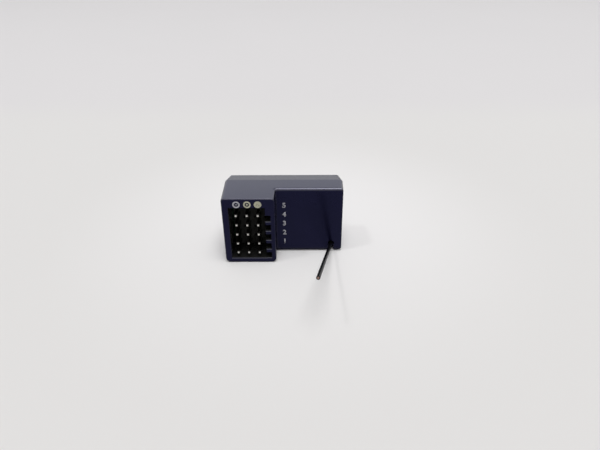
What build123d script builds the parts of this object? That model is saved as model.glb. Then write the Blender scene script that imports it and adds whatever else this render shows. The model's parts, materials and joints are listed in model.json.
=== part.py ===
from build123d import *
from math import atan, degrees, pi, radians, sqrt, tan
import os

# A small radio receiver for model cars. Lengths are millimetres and angles are degrees.
# The case stands on one long narrow side, as photographed: X runs along its width with the plug
# tower on the left, Y runs from the tower's face to the rear, and Z is up.
# The origin is the middle of the foot.

# Header pins, three columns of five rows
pitch = 2.54
row_count = 5
columns = ["negative", "positive", "signal"]
pin_side = 0.64
pin_point = 0.12
tip_setback = 0.2
pin_exposure = 6.0
tail_length = 1.5
strip_depth = 2.5
strip_gap = 0.04
strip_notch = 0.45

# Circuit board and the solder round the pins' tails
board_thickness = 1.0
board_clearance = 0.15
board_stand_out = 0.05
drill_clearance = 0.05
solder_foot = 1.7
solder_collar = 0.95
solder_height = 0.8

# Plug pocket in the tower, with a comb of key slots in its right wall
plug_side_clearance = 0.39
plug_stack_clearance = 1.15
plug_foot_clearance = 0.23
pocket_sill = 1.25
pocket_roof = 2.4
pocket_left_wall = 1.5
pocket_lead_in = 0.12
key_slot_depth = 1.25
key_slot_height = 1.6
key_slot_drop = 0.65
key_slot_wall = 1.05

# Front housing: a tower beside a thinner part
wall = 1.0
thin_width = 16.3
step_depth = 4.8
side_draft = 1.2
low_corner = 1.2
high_corner = 0.7
inner_corner = 0.4
rim_rounding = 0.3
thin_rim_rounding = 0.2
step_rounding = 0.3
ledge_width = 0.8
relief_height = 0.8

# Rear cover: a tray that narrows to the rear, with a lip that enters the housing
cover_depth = 4.25
rear_inset = 0.7
rear_bevel = 0.35
rib_thickness = 1.0
rib_width = 1.3
rib_spacing = 9.0
lip_length = 1.2
lip_wall = 0.45
lip_side_clearance = 0.05
lip_end_clearance = 0.1
snap_length = 4.0
snap_rise = 0.15
snap_clearance = 0.05

# Aerial wire, and the arched slot that it leaves by
wire_diameter = 0.81
wire_seat_gap = 0.02
core_diameter = 0.3
core_length = 1.8
wire_jog = 0.3
wire_lean = 3.98
notch_width = 1.34
notch_height = 3.0
notch_inset = 2.6
notch_run = 1.7
notch_lead_in = 0.15

# Components on the board, each as length, width and height
radio_size = (4.0, 4.0, 0.9)
crystal_size = (3.2, 2.5, 0.8)
lamp_size = (1.6, 0.8, 0.7)
logic_size = (6.6, 4.4, 1.1)
supply_size = (2.9, 1.7, 1.2)
large_capacitor_size = (3.2, 1.6, 1.4)
small_capacitor_size = (1.0, 0.5, 0.5)
resistor_size = (1.6, 0.8, 0.45)
component_gap = 0.6
component_spacing = 1.6
logic_lead_count = 20
logic_lead_pitch = 0.65
supply_lead_count = 3
supply_lead_pitch = 0.95
lead_width = 0.28
lead_thickness = 0.15
lead_shoulder = 0.35
lead_length = 0.95

# Whole sizes that follow
pocket_width = len(columns) * pitch + 2 * plug_side_clearance
pocket_height = row_count * pitch + plug_stack_clearance
tower_width = pocket_left_wall + pocket_width + key_slot_depth + key_slot_wall
case_width = tower_width + thin_width
case_height = pocket_sill + pocket_height + pocket_roof
board_depth = tip_setback + pin_exposure + strip_depth
parting_depth = board_depth + board_thickness - board_stand_out
case_depth = parting_depth + cover_depth

# Places that follow, from front to rear, across and up
front = -case_depth / 2
rear = case_depth / 2
step = front + step_depth
parting = front + parting_depth
strip_front = front + tip_setback + pin_exposure
board_front = front + board_depth
board_back = board_front + board_thickness
draft_slope = tan(radians(side_draft))
seam_side = case_width / 2
face_side = seam_side - draft_slope * parting_depth
thin_right = seam_side - draft_slope * (parting_depth - step_depth)
tower_right = tower_width - face_side
step_right = tower_right + draft_slope * step_depth
pocket_left = pocket_left_wall - face_side
pocket_right = pocket_left + pocket_width
pocket_top = pocket_sill + pocket_height
middle = case_height / 2
notch_place = thin_right - notch_inset
column_places = [pocket_left + plug_side_clearance + pitch * (i + 0.5) for i in range(len(columns))]
row_places = [pocket_sill + plug_foot_clearance + pitch * (i + 0.5) for i in range(row_count)]

# The wire's route, from its stripped end on the board, down, round and out in one straight run
wire_line = board_front - wire_diameter / 2 - wire_seat_gap
wire_bend = notch_place + wire_jog
wire_route = [
    (wire_bend, wire_line, 6.0), (wire_bend, wire_line, 2.68), (wire_bend, 0.68, 1.80),
    (wire_bend - 0.05, -0.38, 1.50), (notch_place - wire_lean, -30.75, 13.50),
]


def block(x0, x1, y0, y1, z0, z1):
    """A box given by its two limits along each axis."""
    return Pos((x0 + x1) / 2, (y0 + y1) / 2, (z0 + z1) / 2) * Box(x1 - x0, y1 - y0, z1 - z0)


def across(y):
    """The plane across the case at depth y, seen from the front, with its origin on the foot."""
    return Plane(origin=(0, y, 0), x_dir=(1, 0, 0), z_dir=(0, -1, 0))


def inside_prism(y0, y1, inset):
    """The inside of the case from depth y0 to y1, at a given inset from its outline."""
    outline = Rectangle(case_width - 2 * inset, case_height - 2 * inset)
    outline = fillet(outline.vertices(), inner_corner)
    return extrude(across(y0) * Pos(0, middle) * outline, amount=y1 - y0, dir=(0, 1, 0))


def lies_along_depth(edge):
    """Whether an edge runs from front to rear, with or without draft."""
    return abs((edge @ 1 - edge @ 0).normalized().Y) > 0.9


def rounded_front():
    """The stepped outside of the front half, drafted at its sides and rounded at its edges."""
    plan = Polyline(
        (-face_side, front), (tower_right, front), (step_right, step), (thin_right, step),
        (seam_side, parting), (-seam_side, parting), close=True,
    )
    body = extrude(make_face(plan), case_height)
    step_corner = body.edges().filter_by(Axis.Z).sort_by_distance((step_right, step, middle))[0]
    body = fillet(step_corner, step_rounding)
    body = fillet(body.edges().filter_by(lies_along_depth).group_by(Axis.Z)[0], low_corner)
    body = fillet(body.edges().filter_by(lies_along_depth).group_by(Axis.Z)[-1], high_corner)
    tower_face = body.faces().filter_by(Axis.Y).sort_by(Axis.Y)[0]
    body = fillet(tower_face.edges(), rim_rounding)
    thin_face = body.faces().filter_by(Axis.Y).sort_by(Axis.Y)[1]
    return fillet(thin_face.edges().sort_by(Axis.X)[1:], thin_rim_rounding)


def snap_ridges(radius, length):
    """Four round ridges along the lip, two on top and two at the foot, or their hollows."""
    ridge = Rot(0, 90, 0) * Cylinder(radius, length)
    depth = parting - lip_length / 2
    reach = middle - (wall - lip_wall)
    return [Pos(x, depth, middle + z) * ridge for x in (-seam_side / 2, seam_side / 2) for z in (-reach, reach)]


def cut_plug_pocket(body):
    """Cuts the pocket through the tower, with the comb of key slots in its right wall."""
    pocket_middle = ((pocket_left + pocket_right) / 2, (pocket_sill + pocket_top) / 2)
    pocket = Pos(*pocket_middle) * Rectangle(pocket_width, pocket_height)
    comb = Sketch() + pocket
    for z in row_places:
        slot = Rectangle(2 * key_slot_depth, key_slot_height)
        comb += Pos(pocket_right, z - key_slot_drop) * slot
    body -= extrude(across(front) * comb, amount=strip_front - front, dir=(0, 1, 0))
    body -= extrude(across(front) * pocket, amount=board_front - front, dir=(0, 1, 0))
    mouth = body.faces().filter_by(Axis.Y).sort_by(Axis.Y)[0].inner_wires()
    return chamfer(mouth.edges(), pocket_lead_in)


def cut_antenna_notch(body):
    """Cuts the arched slot through the thin face and the foot, flared at its mouth."""
    arch_middle = notch_height - notch_width / 2
    arch = Sketch() + Pos(notch_place, arch_middle) * Circle(notch_width / 2)
    arch += Pos(notch_place, 0) * Rectangle(notch_width, 2 * arch_middle)
    slot = extrude(across(step) * arch, amount=notch_run, dir=(0, 1, 0))
    flare = extrude(across(step + notch_lead_in) * arch, amount=2 * notch_lead_in, taper=-45)
    return body - slot - flare


def make_front_housing():
    """The stepped front half, with the plug pocket, its key slots and the aerial's slot."""
    body = cut_plug_pocket(rounded_front())
    body = cut_antenna_notch(body)
    body -= inside_prism(board_front, parting, wall)
    thin_top = case_height - wall - ledge_width
    thin_side = seam_side - wall - ledge_width
    body -= block(step_right, thin_side, step + wall, board_front, wall, thin_top)
    relief_top = case_height - wall
    body -= block(
        wall - face_side, tower_right - wall, front + wall, board_front, relief_top - relief_height, relief_top
    )
    rebate_end = parting - lip_length - lip_end_clearance
    body -= inside_prism(rebate_end, parting, wall - lip_wall - lip_side_clearance) - inside_prism(
        rebate_end, board_front, wall
    )
    for hollow in snap_ridges(snap_rise + snap_clearance, snap_length + 2 * snap_clearance):
        body -= hollow
    return body


def tapered_tray(y0, y1, inset):
    """The rear cover's shape from depth y0 to y1 with sharp corners, drawn in all round by inset."""
    slope = rear_inset / (rear - parting)
    drawn_in = inset + slope * (y0 - parting)
    foot = Plane(origin=(0, y0, middle), x_dir=(-1, 0, 0), z_dir=(0, 1, 0))
    outline = foot * Rectangle(case_width - 2 * drawn_in, case_height - 2 * drawn_in)
    return extrude(outline, amount=y1 - y0, taper=degrees(atan(slope)))


def make_rear_cover():
    """The shallow tray that closes the rear, with a lip, four snaps and ribs against the board."""
    shell = tapered_tray(parting, rear, 0)
    shell = fillet(shell.edges().filter_by(lies_along_depth).group_by(Axis.Z)[0], low_corner)
    shell = fillet(shell.edges().filter_by(lies_along_depth).group_by(Axis.Z)[-1], high_corner)
    shell = chamfer(shell.faces().sort_by(Axis.Y)[-1].edges(), rear_bevel)
    shell += inside_prism(parting - lip_length, parting, wall - lip_wall)
    shell -= tapered_tray(parting - lip_length, rear - wall, wall)
    for ridge in snap_ridges(snap_rise, snap_length):
        shell += ridge
    rib_root = seam_side - wall / 2 - rear_inset / 2
    rib_end = seam_side - wall - rib_width
    for z in (middle - rib_spacing / 2, middle + rib_spacing / 2):
        z0 = z - rib_thickness / 2
        z1 = z + rib_thickness / 2
        shell += block(rib_end, rib_root, board_back, rear - wall / 2, z0, z1)
        shell += block(-rib_root, -rib_end, board_back, rear - wall / 2, z0, z1)
    return shell


def make_circuit_board():
    """The board that fills the case's inside, drilled for the header's tails."""
    board = inside_prism(board_front, board_back, wall + board_clearance)
    drill_radius = pin_side / sqrt(2) + drill_clearance
    drill = Rot(90, 0, 0) * Cylinder(drill_radius, 4 * board_thickness)
    for x in column_places:
        for z in row_places:
            board -= Pos(x, board_front, z) * drill
    return board


def make_header_strip(x):
    """One column's insulator, notched between its rows and pierced for its pins."""
    outline = Sketch()
    cell = chamfer(Rectangle(pitch - strip_gap, pitch).vertices(), strip_notch)
    for z in row_places:
        outline += Pos(x, z) * cell
    for z in row_places:
        outline -= Pos(x, z) * Rectangle(pin_side, pin_side)
    return extrude(across(strip_front) * outline, amount=strip_depth, dir=(0, 1, 0))


def make_pin(x, z):
    """A square header pin with both ends bevelled to a point."""
    tip = front + tip_setback
    length = board_back + tail_length - tip
    pin = Pos(x, tip + length / 2, z) * Box(pin_side, length, pin_side)
    return chamfer(pin.faces().filter_by(Axis.Y).edges(), pin_point)


def make_pin_solder():
    """The solder round the pins' tails on the back of the board, drawn with eight flats."""
    seat = Plane(origin=(0, board_back, 0), x_dir=(-1, 0, 0), z_dir=(0, 1, 0))
    slope = atan((solder_foot - solder_collar) / 2 / solder_height)
    ring = RegularPolygon(solder_foot / 2, 8, major_radius=False)
    solder = extrude(ring, amount=solder_height, taper=degrees(slope))
    solder -= Box(pin_side, pin_side, 4 * solder_height)
    return Compound([seat * Pos(-x, z) * solder for x in column_places for z in row_places])


def make_antenna_wire():
    """The aerial's jacketed wire, a round tube along straight runs joined by tangent arcs."""
    radii = route_radii(wire_route)
    path = FilletPolyline(*wire_route, radius=radii)
    section = Plane(origin=wire_route[0], z_dir=path % 0) * Circle(wire_diameter / 2)
    wire = sweep(section, path=path)
    drawn = path.length * pi * wire_diameter ** 2 / 4
    print("aerial radii", [round(r, 2) for r in radii], "length", round(path.length, 2))
    print("aerial volume over section times length", round(wire.volume / drawn, 5))
    return wire


def route_radii(route):
    """The largest arc that each inner point of a route has room for."""
    points = [Vector(*place) for place in route]
    radii = []
    for before, here, after in zip(points, points[1:], points[2:]):
        turn = (here - before).get_angle(after - here)
        shorter = min((here - before).length, (after - here).length)
        radii.append(0.45 * shorter / tan(radians(turn / 2)))
    return radii


def make_antenna_core():
    """The bare conductor that runs on from the jacket's end to its pad."""
    x, y, z = wire_route[0]
    return Pos(x, y, z + core_length / 2) * Cylinder(core_diameter / 2, core_length)


def make_antenna_solder():
    """The solder bead that holds the conductor to its pad on the front of the board."""
    x, y, z = wire_route[0]
    half = wire_diameter / 2
    bead = block(x - half, x + half, y - half, board_front, z + core_length / 2, z + core_length)
    bead = chamfer(bead.edges().filter_by(Axis.Z).group_by(Axis.Y)[0], half / 2)
    return bead - make_antenna_core()


def on_board_front(x, z, solid):
    """Seats a component, drawn standing on its own foot, on the front of the board."""
    return Plane(origin=(x, board_front, z), x_dir=(1, 0, 0), z_dir=(0, -1, 0)) * solid


def on_board_back(x, z, solid):
    """Seats a component, drawn standing on its own foot, on the back of the board."""
    return Plane(origin=(x, board_back, z), x_dir=(-1, 0, 0), z_dir=(0, 1, 0)) * solid


def make_chip(length, width, height):
    """A moulded chip with its upper edges bevelled."""
    body = Pos(0, 0, height / 2) * Box(length, width, height)
    top = body.faces().sort_by(Axis.Z)[-1]
    return chamfer(top.edges(), height / 6)


def make_can(length, width, height):
    """A rounded metal can, such as a crystal's."""
    body = Pos(0, 0, height / 2) * Box(length, width, height)
    body = fillet(body.edges().filter_by(Axis.Z), width / 4)
    return chamfer(body.faces().sort_by(Axis.Z)[-1].edges(), height / 6)


def make_end_capped(length, width, height):
    """A small resistor or capacitor, whose metal end caps stand proud of its body."""
    body = Pos(0, 0, height / 2) * Box(length, 0.9 * width, 0.85 * height)
    for side in (-1, 1):
        body += Pos(side * 0.39 * length, 0, height / 2) * Box(0.22 * length, width, height)
    return body


def make_lead_rows(chip_width, chip_height, near_places, far_places):
    """The stepped leads along a chip's two long sides, at the given places along each."""
    top = chip_height / 2
    inner = lead_shoulder - lead_thickness
    profile = Polyline(
        (0, top), (lead_shoulder, top), (lead_shoulder, lead_thickness), (lead_length, lead_thickness),
        (lead_length, 0), (inner, 0), (inner, top - lead_thickness), (0, top - lead_thickness), close=True,
    )
    side_on = Plane(origin=(0, chip_width / 2, 0), x_dir=(0, 1, 0), z_dir=(1, 0, 0))
    lead = extrude(side_on * make_face(profile), amount=lead_width / 2, both=True)
    leads = [Pos(x, 0, 0) * lead for x in near_places]
    leads += [Rot(0, 0, 180) * Pos(-x, 0, 0) * lead for x in far_places]
    return Compound(leads)


def centred_places(count, spacing, centre=0):
    """Places along a line, evenly spaced about its centre."""
    return [centre + spacing * (i - (count - 1) / 2) for i in range(count)]


def make_radio_side():
    """What the board's front carries in the thin part: radio, crystal, tuning parts and lamp."""
    radio_x = (step_right + notch_place) / 2 + component_gap
    radio_z = middle - radio_size[1] / 2
    tuning_offset = radio_size[0] / 2 + component_gap + small_capacitor_size[0] / 2
    tuning_rows = centred_places(3, component_spacing, radio_z)
    crystal_z = radio_z + radio_size[1] / 2 + component_gap + crystal_size[1] / 2
    lamp_x = step_right + component_gap + lamp_size[0]
    lamp_z = crystal_z + crystal_size[1] / 2 + component_gap
    capacitor = make_end_capped(*small_capacitor_size)
    tuning = [
        on_board_front(radio_x + side * tuning_offset, z, capacitor) for side in (-1, 1) for z in tuning_rows
    ]
    return {
        "radio_chip": on_board_front(radio_x, radio_z, make_chip(*radio_size)),
        "crystal_can": on_board_front(radio_x, crystal_z, make_can(*crystal_size)),
        "status_led": on_board_front(lamp_x, lamp_z, make_chip(*lamp_size)),
        "tuning_capacitors": Compound(tuning),
    }


def make_supply_side():
    """What the board's back carries: the supply beside the pins, the logic chip and resistors."""
    supply_x = column_places[-1] + solder_foot / 2 + component_gap + large_capacitor_size[0] / 2
    resistor_x = seam_side - wall - rib_width - component_gap - resistor_size[0] / 2
    logic_x = (supply_x + large_capacitor_size[0] / 2 + resistor_x - resistor_size[0] / 2) / 2
    logic_z = middle + component_gap
    supply_z = middle + large_capacitor_size[1] / 2 + component_gap + lead_length + supply_size[1] / 2
    lower_z = middle - large_capacitor_size[1] - component_gap
    filter_z = logic_z - logic_size[1] / 2 - lead_length - component_gap - small_capacitor_size[1] / 2
    logic_leads = centred_places(logic_lead_count // 2, logic_lead_pitch)
    supply_leads = centred_places(supply_lead_count, supply_lead_pitch)
    large = make_end_capped(*large_capacitor_size)
    small = make_end_capped(*small_capacitor_size)
    resistor = make_end_capped(*resistor_size)
    leads_of_logic = make_lead_rows(logic_size[1], logic_size[2], logic_leads, logic_leads)
    leads_of_supply = make_lead_rows(supply_size[1], supply_size[2], supply_leads, supply_leads[::2])
    filters = [on_board_back(x, filter_z, small) for x in centred_places(4, component_spacing, logic_x)]
    resistors = [on_board_back(resistor_x, z, resistor) for z in centred_places(5, component_spacing, middle)]
    return {
        "logic_chip": on_board_back(logic_x, logic_z, make_chip(*logic_size)),
        "logic_chip_leads": on_board_back(logic_x, logic_z, leads_of_logic),
        "voltage_regulator": on_board_back(supply_x, supply_z, make_chip(*supply_size)),
        "regulator_leads": on_board_back(supply_x, supply_z, leads_of_supply),
        "input_capacitor": on_board_back(supply_x, middle, large),
        "output_capacitor": on_board_back(supply_x, lower_z, large),
        "filter_capacitors": Compound(filters),
        "pull_up_resistors": Compound(resistors),
    }


def main():
    nodes = {
        "front_housing": make_front_housing(),
        "rear_cover": make_rear_cover(),
        "circuit_board": make_circuit_board(),
        "pin_solder": make_pin_solder(),
        "antenna_wire": make_antenna_wire(),
        "antenna_core": make_antenna_core(),
        "antenna_solder": make_antenna_solder(),
    }
    nodes.update(make_radio_side())
    nodes.update(make_supply_side())
    for x, column in zip(column_places, columns):
        nodes[f"{column}_strip"] = make_header_strip(x)
        for row, z in enumerate(row_places, start=1):
            nodes[f"{column}_pin_{row}"] = make_pin(x, z)
    os.makedirs("parts", exist_ok=True)
    for name, solid in nodes.items():
        export_step(solid, f"parts/{name}.step")


main()
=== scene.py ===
import json
from math import cos, pi, radians, sin

import bmesh
import bpy
from mathutils import Matrix, Vector


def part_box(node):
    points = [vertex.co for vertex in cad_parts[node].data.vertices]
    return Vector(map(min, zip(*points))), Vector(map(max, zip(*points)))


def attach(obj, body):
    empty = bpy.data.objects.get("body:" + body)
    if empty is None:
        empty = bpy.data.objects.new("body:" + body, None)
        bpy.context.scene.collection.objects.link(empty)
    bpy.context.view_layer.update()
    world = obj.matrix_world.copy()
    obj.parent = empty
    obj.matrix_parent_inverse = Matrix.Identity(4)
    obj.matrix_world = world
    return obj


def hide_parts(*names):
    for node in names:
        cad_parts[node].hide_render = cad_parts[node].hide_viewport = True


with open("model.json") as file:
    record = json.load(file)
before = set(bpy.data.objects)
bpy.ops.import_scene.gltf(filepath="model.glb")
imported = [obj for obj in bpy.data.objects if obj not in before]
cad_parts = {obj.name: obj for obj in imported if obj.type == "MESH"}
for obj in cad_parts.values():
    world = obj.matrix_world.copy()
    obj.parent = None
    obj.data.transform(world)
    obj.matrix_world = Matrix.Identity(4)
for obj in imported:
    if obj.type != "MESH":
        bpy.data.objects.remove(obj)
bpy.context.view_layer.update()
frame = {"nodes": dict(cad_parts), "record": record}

scene = bpy.context.scene
millimetre = 0.001


# camera, where the photograph was taken from
shot = {
    "place": (0.0050, -0.10727, 0.07254),
    "turn": 0.6, "tilt": 31.69, "roll": -0.46,  # degrees
    "focalPixels": 507.26, "imageWidth": 600, "sensorWidth": 36.0,
}


def placeCamera():
    lens = bpy.data.cameras.new("camera")
    lens.sensor_width = shot["sensorWidth"]
    lens.lens = shot["focalPixels"] / shot["imageWidth"] * shot["sensorWidth"]
    lens.clip_start = millimetre
    camera = bpy.data.objects.new("camera", lens)
    scene.collection.objects.link(camera)
    turn = Matrix.Rotation(radians(shot["turn"]), 4, "Z")
    tilt = Matrix.Rotation(radians(90 - shot["tilt"]), 4, "X")
    roll = Matrix.Rotation(radians(shot["roll"]), 4, "Z")
    camera.matrix_world = Matrix.Translation(shot["place"]) @ turn @ tilt @ roll
    scene.camera = camera


# aerial, the cord: stripped end on the board, round and out through the arched slot, then straight
aerial = {
    "route": [
        (0.01185, 0.00133, 0.00600), (0.01185, 0.00133, 0.00268), (0.01185, 0.00068, 0.00180),
        (0.01180, -0.00038, 0.00150), (0.01166, -0.00139, 0.00190), (0.00757, -0.03072, 0.01349),
    ],
    "tip": (0.00757, -0.03075, 0.01350),
    "heading": (-0.12845, -0.92226, 0.36441),  # the way the straight run points
    "diameter": 0.00081, "length": 0.0383,
    "endDepth": 0.00006, "innerDiameter": 0.00056, "innerSides": 40,
    "strandDiameter": 0.00016, "strandTaper": 1.2, "strandProud": 0.00002, "strandSides": 14,
}


def makeAerial():
    curve = bpy.data.curves.new("aerialJacket", "CURVE")
    curve.dimensions = "3D"
    curve.bevel_depth = aerial["diameter"] / 2
    curve.bevel_resolution = 7
    curve.use_fill_caps = True
    spline = curve.splines.new("NURBS")
    spline.points.add(len(aerial["route"]) - 1)
    for point, place in zip(spline.points, aerial["route"]):
        point.co = (*place, 1)
    spline.order_u = 3
    spline.use_endpoint_u = True
    spline.resolution_u = 20
    jacket = bpy.data.objects.new("aerialJacket", curve)
    scene.collection.objects.link(jacket)
    return jacket


placeCamera()
aerialJacket = makeAerial()
print("camera and aerial placed")


# node helpers
def addNode(tree, kind, inputs=None, **settings):
    node = tree.nodes.new(kind)
    for name, value in settings.items():
        setattr(node, name, value)
    for name, value in (inputs or {}).items():
        if isinstance(value, bpy.types.NodeSocket):
            tree.links.new(value, node.inputs[name])
        else:
            node.inputs[name].default_value = value
    return node


def calculate(tree, operation, *values, clamp=False):
    node = addNode(tree, "ShaderNodeMath", dict(enumerate(values)), operation=operation, use_clamp=clamp)
    return node.outputs[0]


def combine(tree, operation, first, second):
    return addNode(tree, "ShaderNodeVectorMath", {0: first, 1: second}, operation=operation)


def makeMask(tree, value, start, end, easing="SMOOTHSTEP"):  # 0 where the value is at the start, 1 at the end
    ramp = addNode(
        tree, "ShaderNodeMapRange", {"Value": value, "From Min": start, "From Max": end},
        interpolation_type=easing,
    )
    return ramp.outputs[0]


def mixTones(tree, share, tone, otherTone):
    mix = addNode(tree, "ShaderNodeMix", {"Factor": share, 6: tone, 7: otherTone}, data_type="RGBA")
    return mix.outputs[2]


def largestPart(tree, vector):  # the largest of a vector's three parts, whatever their signs
    size = addNode(tree, "ShaderNodeVectorMath", {0: vector}, operation="ABSOLUTE")
    parts = addNode(tree, "ShaderNodeSeparateXYZ", {0: size.outputs[0]})
    wider = calculate(tree, "MAXIMUM", parts.outputs["X"], parts.outputs["Y"])
    return calculate(tree, "MAXIMUM", wider, parts.outputs["Z"])


def newGroup(name, takes, gives):
    tree = bpy.data.node_groups.new(name, "ShaderNodeTree")
    for label, kind, value in takes:
        socket = tree.interface.new_socket(name=label, in_out="INPUT", socket_type=kind)
        socket.default_value = value
    for label, kind in gives:
        tree.interface.new_socket(name=label, in_out="OUTPUT", socket_type=kind)
    return tree, tree.nodes.new("NodeGroupInput"), tree.nodes.new("NodeGroupOutput")


def placeInPatches(tree, size):  # the piece's own coordinates, counted in patches of a size in mm
    place = addNode(tree, "ShaderNodeTexCoord")
    perMetre = calculate(tree, "DIVIDE", 1 / millimetre, size)
    scaled = addNode(
        tree, "ShaderNodeVectorMath", {0: place.outputs["Object"], "Scale": perMetre}, operation="SCALE"
    )
    return scaled.outputs[0]


# surface patterns: where the second tone starts and is full, and how far and how finely a gloss is marked
pattern = {"otherTone": (0.35, 0.65), "specks": 0.35, "middle": 0.5, "gain": 3.0}


def makeDriftGroup():  # slow change between two tones
    grey = (0.5, 0.5, 0.5, 1)
    tree, given, result = newGroup(
        "toneDrift",
        [("Tone", "NodeSocketColor", grey), ("Other Tone", "NodeSocketColor", grey),
         ("Size", "NodeSocketFloat", 4.0)],
        [("Color", "NodeSocketColor")],
    )
    place = placeInPatches(tree, given.outputs["Size"])
    cloud = addNode(
        tree, "ShaderNodeTexNoise", {"Vector": place, "Scale": 1.0, "Detail": 5.0, "Roughness": 0.55}
    )
    share = makeMask(tree, cloud.outputs[0], *pattern["otherTone"])
    drifting = mixTones(tree, share, given.outputs["Tone"], given.outputs["Other Tone"])
    tree.links.new(drifting, result.inputs["Color"])
    return tree


def makeHandlingGroup():  # smears and dull patches that fingers leave on a gloss
    tree, given, result = newGroup(
        "handlingMarks",
        [("Roughness", "NodeSocketFloat", 0.4), ("Spread", "NodeSocketFloat", 0.1),
         ("Size", "NodeSocketFloat", 6.0)],
        [("Roughness", "NodeSocketFloat")],
    )
    place = placeInPatches(tree, given.outputs["Size"])
    smears = addNode(
        tree, "ShaderNodeTexNoise", {"Vector": place, "Scale": 0.7, "Detail": 2.0, "Distortion": 1.2}
    )
    specks = addNode(
        tree, "ShaderNodeTexNoise", {"Vector": place, "Scale": 9.0, "Detail": 4.0, "Roughness": 0.7}
    )
    both = addNode(
        tree, "ShaderNodeMix", {"Factor": pattern["specks"], 2: smears.outputs[0], 3: specks.outputs[0]}
    )
    centred = calculate(tree, "SUBTRACT", both.outputs[0], pattern["middle"])
    wide = calculate(tree, "MULTIPLY", given.outputs["Spread"], pattern["gain"])
    rough = calculate(tree, "MULTIPLY_ADD", centred, wide, given.outputs["Roughness"], clamp=True)
    tree.links.new(rough, result.inputs["Roughness"])
    return tree


def makeGrainGroup():  # the fine pitted skin of a spark-finished mould
    tree, given, result = newGroup(
        "mouldedGrain", [("Size", "NodeSocketFloat", 0.2), ("Evenness", "NodeSocketFloat", 0.5)],
        [("Height", "NodeSocketFloat")],
    )
    place = placeInPatches(tree, given.outputs["Size"])
    pits = addNode(tree, "ShaderNodeTexVoronoi", {"Vector": place, "Scale": 1.0}, feature="SMOOTH_F1")
    cloud = addNode(tree, "ShaderNodeTexNoise", {"Vector": place, "Scale": 0.8, "Detail": 4.0})
    height = addNode(
        tree, "ShaderNodeMix",
        {"Factor": given.outputs["Evenness"], 2: pits.outputs["Distance"], 3: cloud.outputs[0]},
    )
    tree.links.new(height.outputs[0], result.inputs["Height"])
    return tree


# edge wear: where each kind of edge starts and is full, by the surface's own normal
wear = {
    "turned": (0.982, 0.94), "upper": (0.1, 0.4), "front": (-0.15, -0.4), "lower": (-0.05, -0.3),
    "scuff": 0.75, "coatRoughness": 0.12,
}


def makeEdgeGroup():  # rounded edges: upper front ones polished by plugs and fingers, lower ones scuffed dull
    tree, given, result = newGroup(
        "edgeWear",
        [("Roughness", "NodeSocketFloat", 0.3), ("Polish", "NodeSocketFloat", 1.0),
         ("Scuff", "NodeSocketFloat", wear["scuff"])],
        [("Weight", "NodeSocketFloat"), ("Roughness", "NodeSocketFloat")],
    )
    normal = addNode(tree, "ShaderNodeTexCoord").outputs["Normal"]
    parts = addNode(tree, "ShaderNodeSeparateXYZ", {0: normal})
    turned = makeMask(tree, largestPart(tree, normal), *wear["turned"])
    upper = makeMask(tree, parts.outputs["Z"], *wear["upper"])
    front = makeMask(tree, parts.outputs["Y"], *wear["front"])
    lower = makeMask(tree, parts.outputs["Z"], *wear["lower"])
    polished = calculate(tree, "MULTIPLY", calculate(tree, "MULTIPLY", turned, upper), front)
    weight = calculate(tree, "MULTIPLY", polished, given.outputs["Polish"])
    scuffed = calculate(tree, "MULTIPLY", turned, lower)
    rough = calculate(
        tree, "MULTIPLY_ADD", scuffed, given.outputs["Scuff"], given.outputs["Roughness"], clamp=True
    )
    tree.links.new(weight, result.inputs["Weight"])
    tree.links.new(rough, result.inputs["Roughness"])
    return tree


groups = {
    "drift": makeDriftGroup(), "handling": makeHandlingGroup(),
    "grain": makeGrainGroup(), "edge": makeEdgeGroup(),
}
print("shader groups built")


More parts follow.
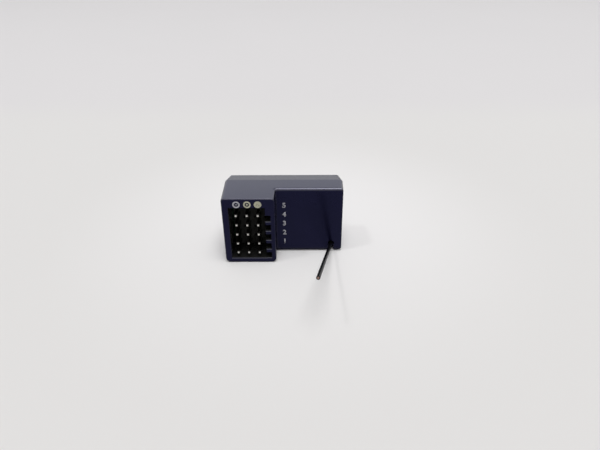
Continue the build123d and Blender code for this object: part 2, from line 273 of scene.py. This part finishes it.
# finishes: patch and grain in mm, depth of the grain in m
recipes = {
    "casePlastic": {
        "tones": [(0.0020, 0.0020, 0.0085), (0.0028, 0.0026, 0.0115)], "patch": 7.0, "roughness": 0.22,
        "spread": 0.05, "grain": 0.16, "depth": 1.5e-6, "tint": (0.22, 0.23, 0.58), "polish": 1.0,
    },
    "stripPlastic": {
        "tones": [(0.018, 0.018, 0.017), (0.025, 0.025, 0.023)], "patch": 2.0, "roughness": 0.6,
        "spread": 0.1, "grain": 0.12, "depth": 4e-6, "specular": 0.1,
    },
    "pinMetal": {
        "tones": [(0.52, 0.51, 0.485), (0.62, 0.605, 0.575)], "patch": 0.8, "roughness": 0.14,
        "spread": 0.08, "grain": 0.06, "depth": 1e-6, "metallic": 1.0,
    },
    "solder": {
        "tones": [(0.62, 0.63, 0.65), (0.75, 0.76, 0.78)], "patch": 0.7, "roughness": 0.3,
        "spread": 0.12, "grain": 0.1, "depth": 3e-6, "metallic": 1.0,
    },
    "boardMask": {
        "tones": [(0.008, 0.075, 0.03), (0.015, 0.11, 0.045)], "patch": 3.0, "roughness": 0.35,
        "spread": 0.08, "grain": 0.15, "depth": 1e-6,
    },
    "chipPlastic": {
        "tones": [(0.014, 0.014, 0.015), (0.022, 0.022, 0.023)], "patch": 1.5, "roughness": 0.6,
        "spread": 0.1, "grain": 0.06, "depth": 4e-6,
    },
    "canMetal": {
        "tones": [(0.66, 0.66, 0.67), (0.78, 0.78, 0.79)], "patch": 1.2, "roughness": 0.3,
        "spread": 0.1, "grain": 0.05, "depth": 1e-6, "metallic": 1.0,
    },
    "lamp": {
        "tones": [(0.62, 0.06, 0.04), (0.8, 0.13, 0.08)], "patch": 0.6, "roughness": 0.2,
        "spread": 0.05, "grain": 0.1, "depth": 1e-6,
    },
    "ceramic": {
        "tones": [(0.36, 0.25, 0.15), (0.46, 0.34, 0.2)], "patch": 0.5, "roughness": 0.5,
        "spread": 0.1, "grain": 0.05, "depth": 3e-6,
    },
    "wireJacket": {
        "tones": [(0.002, 0.002, 0.0022), (0.004, 0.004, 0.0042)], "patch": 3.0, "roughness": 0.3,
        "spread": 0.08, "grain": 0.08, "depth": 3e-6, "specular": 0.06,
    },
    "copper": {
        "tones": [(0.30, 0.19, 0.15), (0.42, 0.27, 0.22)], "patch": 0.4, "roughness": 0.4,
        "spread": 0.1, "grain": 0.04, "depth": 1e-6, "metallic": 1.0,
    },
    "innerJacket": {
        "tones": [(0.075, 0.055, 0.055), (0.11, 0.085, 0.085)], "patch": 0.3, "roughness": 0.5,
        "spread": 0.1, "grain": 0.03, "depth": 2e-6,
    },
    "whiteInk": {
        "tones": [(0.33, 0.33, 0.36), (0.43, 0.43, 0.46)], "patch": 0.6, "roughness": 0.55,
        "spread": 0.1, "grain": 0.05, "depth": 3e-6,
    },
    "oliveInk": {
        "tones": [(0.20, 0.19, 0.12), (0.26, 0.25, 0.17)], "patch": 0.6, "roughness": 0.55,
        "spread": 0.1, "grain": 0.05, "depth": 3e-6,
    },
    "creamInk": {
        "tones": [(0.39, 0.385, 0.29), (0.48, 0.47, 0.35)], "patch": 0.6, "roughness": 0.55,
        "spread": 0.1, "grain": 0.05, "depth": 3e-6,
    },
    "floorPaper": {
        "tones": [(0.775, 0.765, 0.755), (0.775, 0.765, 0.755)], "patch": 60.0, "roughness": 0.8,
        "spread": 0.05, "grain": 0.5, "depth": 4e-6, "specular": 0.2,
    },
}


def makeFinish(
    name, tones, patch, roughness, spread, grain, depth,
    metallic=0.0, specular=0.5, tint=(1, 1, 1), polish=0.0,
):
    material = bpy.data.materials.new(name)
    material.use_nodes = True
    tree = material.node_tree
    shader = tree.nodes["Principled BSDF"]
    shader.inputs["Metallic"].default_value = metallic
    shader.inputs["Specular IOR Level"].default_value = specular
    shader.inputs["Specular Tint"].default_value = (*tint, 1)
    drift = addNode(
        tree, "ShaderNodeGroup", {"Tone": (*tones[0], 1), "Other Tone": (*tones[1], 1), "Size": patch},
        node_tree=groups["drift"],
    )
    marks = addNode(
        tree, "ShaderNodeGroup", {"Roughness": roughness, "Spread": spread, "Size": patch},
        node_tree=groups["handling"],
    )
    skin = addNode(tree, "ShaderNodeGroup", {"Size": grain}, node_tree=groups["grain"])
    bump = addNode(
        tree, "ShaderNodeBump", {"Strength": 1.0, "Distance": depth, "Height": skin.outputs["Height"]}
    )
    tree.links.new(drift.outputs["Color"], shader.inputs["Base Color"])
    tree.links.new(marks.outputs["Roughness"], shader.inputs["Roughness"])
    tree.links.new(bump.outputs["Normal"], shader.inputs["Normal"])
    if polish:
        edge = addNode(
            tree, "ShaderNodeGroup", {"Roughness": marks.outputs["Roughness"], "Polish": polish},
            node_tree=groups["edge"],
        )
        shader.inputs["Coat Roughness"].default_value = wear["coatRoughness"]
        tree.links.new(edge.outputs["Weight"], shader.inputs["Coat Weight"])
        tree.links.new(edge.outputs["Roughness"], shader.inputs["Roughness"])
    return material


finishes = {name: makeFinish(name, **recipe) for name, recipe in recipes.items()}


def openTone(name):  # a finish's nodes, its base colour and what feeds that so far
    tree = finishes[name].node_tree
    baseColor = tree.nodes["Principled BSDF"].inputs["Base Color"]
    return tree, baseColor, baseColor.links[0].from_socket


# board: tracks under its green mask, with sizes in mm, and how much of their tone some fields between show
tracks = {
    "tone": (0.03, 0.19, 0.075), "field": (0.15, 0.15, 0.15), "width": 0.12, "length": 2.9, "spacing": 0.9,
}


def drawTracks():
    tree, baseColor, plain = openTone("boardMask")
    place = addNode(tree, "ShaderNodeTexCoord")
    upright = addNode(
        tree, "ShaderNodeMapping", {"Vector": place.outputs["Object"], "Rotation": (pi / 2, 0, 0)}
    )
    lines = addNode(
        tree, "ShaderNodeTexBrick",
        {"Vector": upright.outputs[0], "Color1": (0, 0, 0, 1), "Color2": (*tracks["field"], 1),
         "Mortar": (1, 1, 1, 1), "Scale": 1 / millimetre, "Mortar Size": tracks["width"],
         "Brick Width": tracks["length"], "Row Height": tracks["spacing"]},
    )
    tree.links.new(mixTones(tree, lines.outputs["Color"], plain, (*tracks["tone"], 1)), baseColor)


# walls of the plug pocket: painted shade, a flat neutral dark tone inside this box
pocketShade = {
    "middle": (-0.0079, -0.0032, 0.0082), "halfSize": (0.0050, 0.0036, 0.0071), "edge": (1.0, 0.99),
    "tone": (0.017, 0.017, 0.016),
}


def dullPocket():
    tree, baseColor, plain = openTone("casePlastic")
    place = addNode(tree, "ShaderNodeTexCoord")
    offset = combine(tree, "SUBTRACT", place.outputs["Object"], pocketShade["middle"])
    share = combine(tree, "DIVIDE", offset.outputs[0], pocketShade["halfSize"])
    inside = makeMask(tree, largestPart(tree, share.outputs[0]), *pocketShade["edge"], easing="LINEAR")
    # painted shade: a flat dark tone on the pocket walls inside the box
    tree.links.new(mixTones(tree, inside, plain, (*pocketShade["tone"], 1)), baseColor)


# pins: the flat tips keep the plated tone, while painted shade darkens the cut bevels behind them most and
# the shanks less
pinShade = {
    "bevelShadeTone": (0.07, 0.068, 0.065), "bevel": (-0.3, -0.6),
    "shankShadeTone": (0.30, 0.295, 0.28), "tip": (-0.78, -0.95),
}


def tonePins():
    tree, baseColor, bright = openTone("pinMetal")
    place = addNode(tree, "ShaderNodeTexCoord")
    forward = addNode(tree, "ShaderNodeSeparateXYZ", {0: place.outputs["Normal"]}).outputs["Y"]
    bevel = makeMask(tree, forward, *pinShade["bevel"])
    # painted shade: cut bevels and shanks darker than the plated tips
    shadedBehind = mixTones(tree, bevel, (*pinShade["shankShadeTone"], 1), (*pinShade["bevelShadeTone"], 1))
    tree.links.new(mixTones(tree, makeMask(tree, forward, *pinShade["tip"]), shadedBehind, bright), baseColor)


drawTracks()
dullPocket()
tonePins()
print("finishes mixed")

# which finish each record slot wears
slotFinish = {
    "case_plastic": "casePlastic", "strip_plastic": "stripPlastic", "pin_metal": "pinMetal",
    "solder": "solder", "board": "boardMask", "chip_plastic": "chipPlastic", "can_metal": "canMetal",
    "lamp": "lamp", "ceramic": "ceramic", "wire_jacket": "wireJacket", "copper": "copper",
}
for entry in frame["record"]["subparts"]:
    for slot in frame["nodes"][entry["node"]].material_slots:
        slot.material = finishes[slotFinish[entry["material_slot"]]]
aerialJacket.data.materials.append(finishes["wireJacket"])
print("finishes assigned")


def keepPiece(name, drawing, finishName):
    bmesh.ops.recalc_face_normals(drawing, faces=drawing.faces)
    data = bpy.data.meshes.new(name)
    drawing.to_mesh(data)
    drawing.free()
    piece = bpy.data.objects.new(name, data)
    scene.collection.objects.link(piece)
    data.materials.append(finishes[finishName])
    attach(piece, "root")
    return piece


def addPeg(drawing, place, sides, diameter, taper=1.0):  # a short round peg that ends at its place
    depth = aerial["endDepth"]
    bmesh.ops.create_cone(
        drawing, cap_ends=True, segments=sides, radius1=diameter / 2, radius2=diameter / taper / 2,
        depth=depth, matrix=place @ Matrix.Translation((0, 0, -depth / 2)),
    )


# cut end of the aerial: a pale inner jacket round seven copper strands
def makeAerialEnd():
    heading = Vector(aerial["heading"]).normalized()
    place = Matrix.Translation(aerial["tip"]) @ heading.to_track_quat("Z", "Y").to_matrix().to_4x4()
    inner = bmesh.new()
    addPeg(inner, place, aerial["innerSides"], aerial["innerDiameter"])
    innerPiece = keepPiece("aerialInnerJacket", inner, "innerJacket")
    strands = bmesh.new()
    ring = aerial["strandDiameter"]
    centres = [(0, 0)] + [(ring * cos(k * pi / 3), ring * sin(k * pi / 3)) for k in range(6)]
    for x, y in centres:
        strandPlace = place @ Matrix.Translation((x, y, aerial["strandProud"]))
        addPeg(strands, strandPlace, aerial["strandSides"], aerial["strandDiameter"], aerial["strandTaper"])
    strandPiece = keepPiece("aerialStrands", strands, "copper")
    return [innerPiece, strandPiece]


aerialEnd = makeAerialEnd()
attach(aerialJacket, "root")
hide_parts("antenna_wire")
print("aerial finished")


# printing, as thin raised ink on the tower's face and on the thin face a step behind it; only seam is in mm
ink = {"thickness": 0.00003, "sunk": 0.00001, "step": 0.0048, "seam": 0.0001, "discSides": 48}
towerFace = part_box("front_housing")[0].y
thinFace = towerFace + ink["step"]


def inkPlace(face, x, z):  # from a flat drawing in mm to its place on a face
    place = Matrix.Translation((x * millimetre, face + ink["sunk"], z * millimetre))
    return place @ Matrix.Rotation(pi / 2, 4, "X") @ Matrix.Scale(millimetre, 4)


def addBar(drawing, x, y, width, height):
    made = bmesh.ops.create_grid(drawing, x_segments=1, y_segments=1, size=0.5)
    bmesh.ops.scale(drawing, vec=(width, height, 1), verts=made["verts"])
    bmesh.ops.translate(drawing, vec=(x, y, 0), verts=made["verts"])


def joinBars(drawing):  # cuts bars along each other's sides and welds them, so that no wall stays inside
    corners = [corner.co.copy() for corner in drawing.verts]
    for corner in corners:
        for way in ((1, 0, 0), (0, 1, 0)):
            parts = drawing.verts[:] + drawing.edges[:] + drawing.faces[:]
            bmesh.ops.bisect_plane(drawing, geom=parts, dist=ink["seam"], plane_co=corner, plane_no=way)
    bmesh.ops.remove_doubles(drawing, verts=drawing.verts, dist=ink["seam"])


def addDisc(drawing, outer, inner):
    made = bmesh.ops.create_circle(drawing, cap_ends=True, segments=ink["discSides"], radius=outer)
    disc = made["verts"][0].link_faces[0]
    if inner:
        bmesh.ops.inset_region(
            drawing, faces=[disc], thickness=outer - inner, use_even_offset=True, use_boundary=True
        )
        bmesh.ops.delete(drawing, geom=[disc], context="FACES")


def keepInk(name, drawing, place, finishName):
    grown = bmesh.ops.extrude_face_region(drawing, geom=drawing.faces[:])
    risen = [part for part in grown["geom"] if isinstance(part, bmesh.types.BMVert)]
    height = (ink["thickness"] + ink["sunk"]) / millimetre
    bmesh.ops.translate(drawing, verts=risen, vec=(0, 0, height))
    bmesh.ops.transform(drawing, matrix=place, verts=drawing.verts)
    keepPiece(name, drawing, finishName)


# the three column signs above the plug pocket, in mm; each bar has its middle, width and height
signs = {
    "columns": (-10.56, -8.08, -5.66), "height": 16.03, "outer": 0.86, "inner": 0.52,
    "stroke": 0.15, "reach": 0.56,
    "wave": [(-0.34, -0.17, 0.24, 0.1), (-0.17, 0, 0.1, 0.44), (0, 0.17, 0.24, 0.1), (0.17, 0, 0.1, 0.44),
             (0.34, -0.17, 0.24, 0.1)],
}


def makeSign(name, x, finishName, bars=(), outer=0.0, inner=0.0, face=towerFace):
    drawing = bmesh.new()
    for bar in bars:
        addBar(drawing, *bar)
    joinBars(drawing)
    if outer:
        addDisc(drawing, outer, inner)
    keepInk(name, drawing, inkPlace(face, x, signs["height"]), finishName)


def makeSigns():
    minusX, plusX, pulseX = signs["columns"]
    stroke, reach = signs["stroke"], signs["reach"]
    across = (0, 0, reach, stroke)
    upper = (0, (reach + stroke) / 4, stroke, (reach - stroke) / 2)
    lower = (0, -(reach + stroke) / 4, stroke, (reach - stroke) / 2)
    makeSign("minusSign", minusX, "whiteInk", [across], signs["outer"], signs["inner"])
    makeSign("plusSign", plusX, "creamInk", [across, upper, lower], signs["outer"], signs["inner"])
    makeSign("pulseDisc", pulseX, "creamInk", outer=signs["outer"])
    makeSign("pulseWave", pulseX, "oliveInk", signs["wave"], face=towerFace - ink["thickness"])


# a plain number beside each row of pins, counted from the foot, in mm; weld is in shares of a letter
rows = {
    "middle": 0.1, "heights": (3.04, 5.60, 8.18, 10.68, 13.15), "tall": 1.36, "boldness": 0.03,
    "curveSteps": 5, "weld": 0.01,
}


def makeNumber(name, text, height):
    letters = bpy.data.curves.new(name, "FONT")
    letters.body = text
    letters.resolution_u = rows["curveSteps"]
    letters.offset = rows["boldness"]
    source = bpy.data.objects.new(name, letters)
    scene.collection.objects.link(source)
    flat = bpy.data.meshes.new_from_object(source.evaluated_get(bpy.context.evaluated_depsgraph_get()))
    bpy.data.objects.remove(source)
    drawing = bmesh.new()
    drawing.from_mesh(flat)
    bpy.data.meshes.remove(flat)
    bmesh.ops.remove_doubles(drawing, verts=drawing.verts, dist=rows["weld"])
    low = Vector((min(v.co.x for v in drawing.verts), min(v.co.y for v in drawing.verts), 0))
    high = Vector((max(v.co.x for v in drawing.verts), max(v.co.y for v in drawing.verts), 0))
    size = rows["tall"] / (high.y - low.y)
    bmesh.ops.translate(drawing, vec=-(low + high) / 2, verts=drawing.verts)
    bmesh.ops.scale(drawing, vec=(size, size, 1), verts=drawing.verts)
    keepInk(name, drawing, inkPlace(thinFace, rows["middle"], height), "whiteInk")


def makeRows():
    for count, height in enumerate(rows["heights"], start=1):
        makeNumber(f"rowNumber{count}", str(count), height)


makeSigns()
makeRows()
print("printing made")


# floor and backdrop: the floor darkens a little far off, and a painted pool of light makes it lighter near
# the object
stage = {
    "halfSize": 1.5, "cells": 8, "farTone": (0.76, 0.745, 0.75), "far": (0.085, 0.125),
    "lightPoolTone": (0.90, 0.89, 0.89), "lightPoolCentre": (0.004, 0.012, 0), "lightPoolReach": (0.072, 0.0),
    "backdrop": (0.80, 0.79, 0.785), "ambientTone": (1.0, 0.99, 1.0), "ambient": 0.34,
}


def makeFloor():
    drawing = bmesh.new()
    cells = stage["cells"]
    bmesh.ops.create_grid(drawing, x_segments=cells, y_segments=cells, size=stage["halfSize"])
    data = bpy.data.meshes.new("floor")
    drawing.to_mesh(data)
    drawing.free()
    floor = bpy.data.objects.new("floor", data)
    scene.collection.objects.link(floor)
    tree, baseColor, plain = openTone("floorPaper")
    place = addNode(tree, "ShaderNodeTexCoord")
    parts = addNode(tree, "ShaderNodeSeparateXYZ", {0: place.outputs["Object"]})
    # painted light: a lighter pool on the floor round the object
    away = combine(tree, "DISTANCE", place.outputs["Object"], stage["lightPoolCentre"])
    lit = makeMask(tree, away.outputs["Value"], *stage["lightPoolReach"])
    withLightPool = mixTones(tree, lit, plain, (*stage["lightPoolTone"], 1))
    far = makeMask(tree, parts.outputs["Y"], *stage["far"])
    tree.links.new(mixTones(tree, far, withLightPool, (*stage["farTone"], 1)), baseColor)
    data.materials.append(finishes["floorPaper"])


def makeWorld():  # an even glow, which the camera and gloss see as the pale backdrop
    world = bpy.data.worlds.new("softbox")
    scene.world = world
    world.use_nodes = True
    tree = world.node_tree
    glow = tree.nodes["Background"]
    glow.inputs["Color"].default_value = (*stage["ambientTone"], 1)
    glow.inputs["Strength"].default_value = stage["ambient"]
    seen = addNode(tree, "ShaderNodeBackground", {"Color": (*stage["backdrop"], 1), "Strength": 1.0})
    path = addNode(tree, "ShaderNodeLightPath")
    either = calculate(tree, "MAXIMUM", path.outputs["Is Camera Ray"], path.outputs["Is Glossy Ray"])
    mix = addNode(tree, "ShaderNodeMixShader", {0: either, 1: glow.outputs[0], 2: seen.outputs[0]})
    tree.links.new(mix.outputs[0], tree.nodes["World Output"].inputs["Surface"])


# lamps: the way to each from the object, distance and size in m, and the surfaces that show it
lamps = {
    "frontLamp": {
        "way": (0.05, -0.38, 0.924), "distance": 2.0, "width": 0.9, "height": 0.62,
        "watts": 9.2, "tone": (1, 1, 1), "lights": "matt",
    },
    "leftLamp": {
        "way": (-0.411, -0.163, 0.897), "distance": 2.0, "width": 0.15, "height": 0.15,
        "watts": 3.0, "tone": (1, 1, 1), "lights": "matt",
    },
    "ceilingPanel": {
        "way": (0.1, -0.1, 0.99), "distance": 2.0, "width": 0.9, "height": 0.9,
        "watts": 14.6, "tone": (1, 1, 1), "lights": "both",
    },
    "rearPanel": {
        "way": (0, 0.866, 0.50), "distance": 0.6, "width": 1.2, "height": 0.42,
        "watts": 1.75, "tone": (0.93, 0.97, 1.0), "lights": "gloss",
    },
    "topStrip": {
        "way": (0, 0.28, 0.96), "distance": 0.6, "width": 1.2, "height": 0.10,
        "watts": 3.2, "tone": (1, 1, 0.95), "lights": "gloss",
    },
    "frontStrip": {
        "way": (0, -0.525, 0.851), "distance": 0.6, "width": 1.2, "height": 0.10,
        "watts": 0.32, "tone": (1, 1, 0.95), "lights": "gloss",
    },
}


def makeLamp(name, way, distance, width, height, watts, tone, lights):
    light = bpy.data.lights.new(name, "AREA")
    light.shape = "RECTANGLE"
    light.size = width
    light.size_y = height
    light.energy = watts
    light.color = tone
    lamp = bpy.data.objects.new(name, light)
    scene.collection.objects.link(lamp)
    heading = Vector(way).normalized()
    turn = heading.to_track_quat("Z", "Y").to_matrix().to_4x4()
    lamp.matrix_world = Matrix.Translation(heading * distance) @ turn
    lamp.visible_camera = False
    lamp.visible_diffuse = lights != "gloss"
    lamp.visible_glossy = lights != "matt"


makeFloor()
makeWorld()
for name, lamp in lamps.items():
    makeLamp(name, **lamp)
scene.view_settings.view_transform = "Standard"
print("stage and lamps set")
